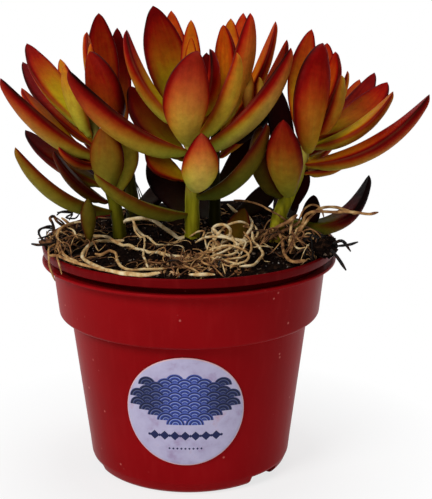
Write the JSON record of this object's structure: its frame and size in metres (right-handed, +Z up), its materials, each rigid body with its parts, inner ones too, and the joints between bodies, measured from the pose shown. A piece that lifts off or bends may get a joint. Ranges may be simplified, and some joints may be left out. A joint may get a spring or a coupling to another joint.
{
  "type": "potted sedum",
  "caption": "Thick-leaved sedum on upright stems in soil, held in two nested round nursery pots with a round sticker on the tapered wall.",
  "frame": {"origin": "centre of the outer pot's flat base, on the surface it stands on", "axes": "+Z up along the pot's axis; -Y towards the sticker; +X to the right as the sticker is faced"},
  "size_m": [0.1385, 0.102, 0.16],
  "materials": {
    "pot_red": "satin",
    "label_paper": "satin",
    "potting_soil": "matte",
    "stem_green": "satin",
    "leaf_red": "satin",
    "leaf_copper": "satin",
    "leaf_olive": "satin",
    "dry_root": "matte"
  },
  "bodies": {
    "root": {"outer_pot": "pot_red", "inner_pot": "pot_red", "label": "label_paper", "soil": "potting_soil", "stem_left": "stem_green", "stem_back": "stem_green", "stem_centre": "stem_green", "stem_middle": "stem_green", "stem_right": "stem_green", "leaf_left_outer": "leaf_red", "leaf_left_second": "leaf_copper", "leaf_left_far": "leaf_red", "leaf_left_tall": "leaf_red", "leaf_left_back": "leaf_copper", "leaf_left_inner": "leaf_olive", "leaf_left_front": "leaf_olive", "leaf_low_left": "leaf_olive", "leaf_low_left_back": "leaf_red", "leaf_low_left_inner": "leaf_red", "leaf_back_tall": "leaf_red", "leaf_back_front": "leaf_red", "leaf_back_left": "leaf_copper", "leaf_back_right": "leaf_red", "leaf_centre_long_left": "leaf_red", "leaf_centre_left": "leaf_red", "leaf_centre_back": "leaf_red", "leaf_centre_far": "leaf_copper", "leaf_centre_top": "leaf_copper", "leaf_centre_front": "leaf_copper", "leaf_centre_shade": "leaf_red", "leaf_centre_right": "leaf_copper", "leaf_centre_long_right": "leaf_red", "leaf_centre_low_front": "leaf_copper", "leaf_centre_low_left": "leaf_copper", "leaf_centre_low_right": "leaf_olive", "leaf_centre_lowest": "leaf_olive", "leaf_centre_low_back": "leaf_red", "leaf_middle_left": "leaf_copper", "leaf_middle_back": "leaf_copper", "leaf_middle_far": "leaf_red", "leaf_middle_front": "leaf_copper", "leaf_middle_right": "leaf_red", "leaf_middle_low_right": "leaf_red", "leaf_right_back": "leaf_copper", "leaf_right_front": "leaf_red", "leaf_right_top": "leaf_red", "leaf_right_second": "leaf_red", "leaf_right_inner": "leaf_copper", "leaf_right_shade": "leaf_olive", "leaf_right_far": "leaf_red", "leaf_right_broad": "leaf_olive", "leaf_right_edge": "leaf_copper", "leaf_right_long": "leaf_red", "leaf_right_under": "leaf_red", "leaf_right_low_front": "leaf_olive", "leaf_right_low_left": "leaf_olive", "leaf_right_lowest": "leaf_olive", "root_left": "dry_root", "root_front": "dry_root", "root_right": "dry_root"}
  },
  "joints": []
}
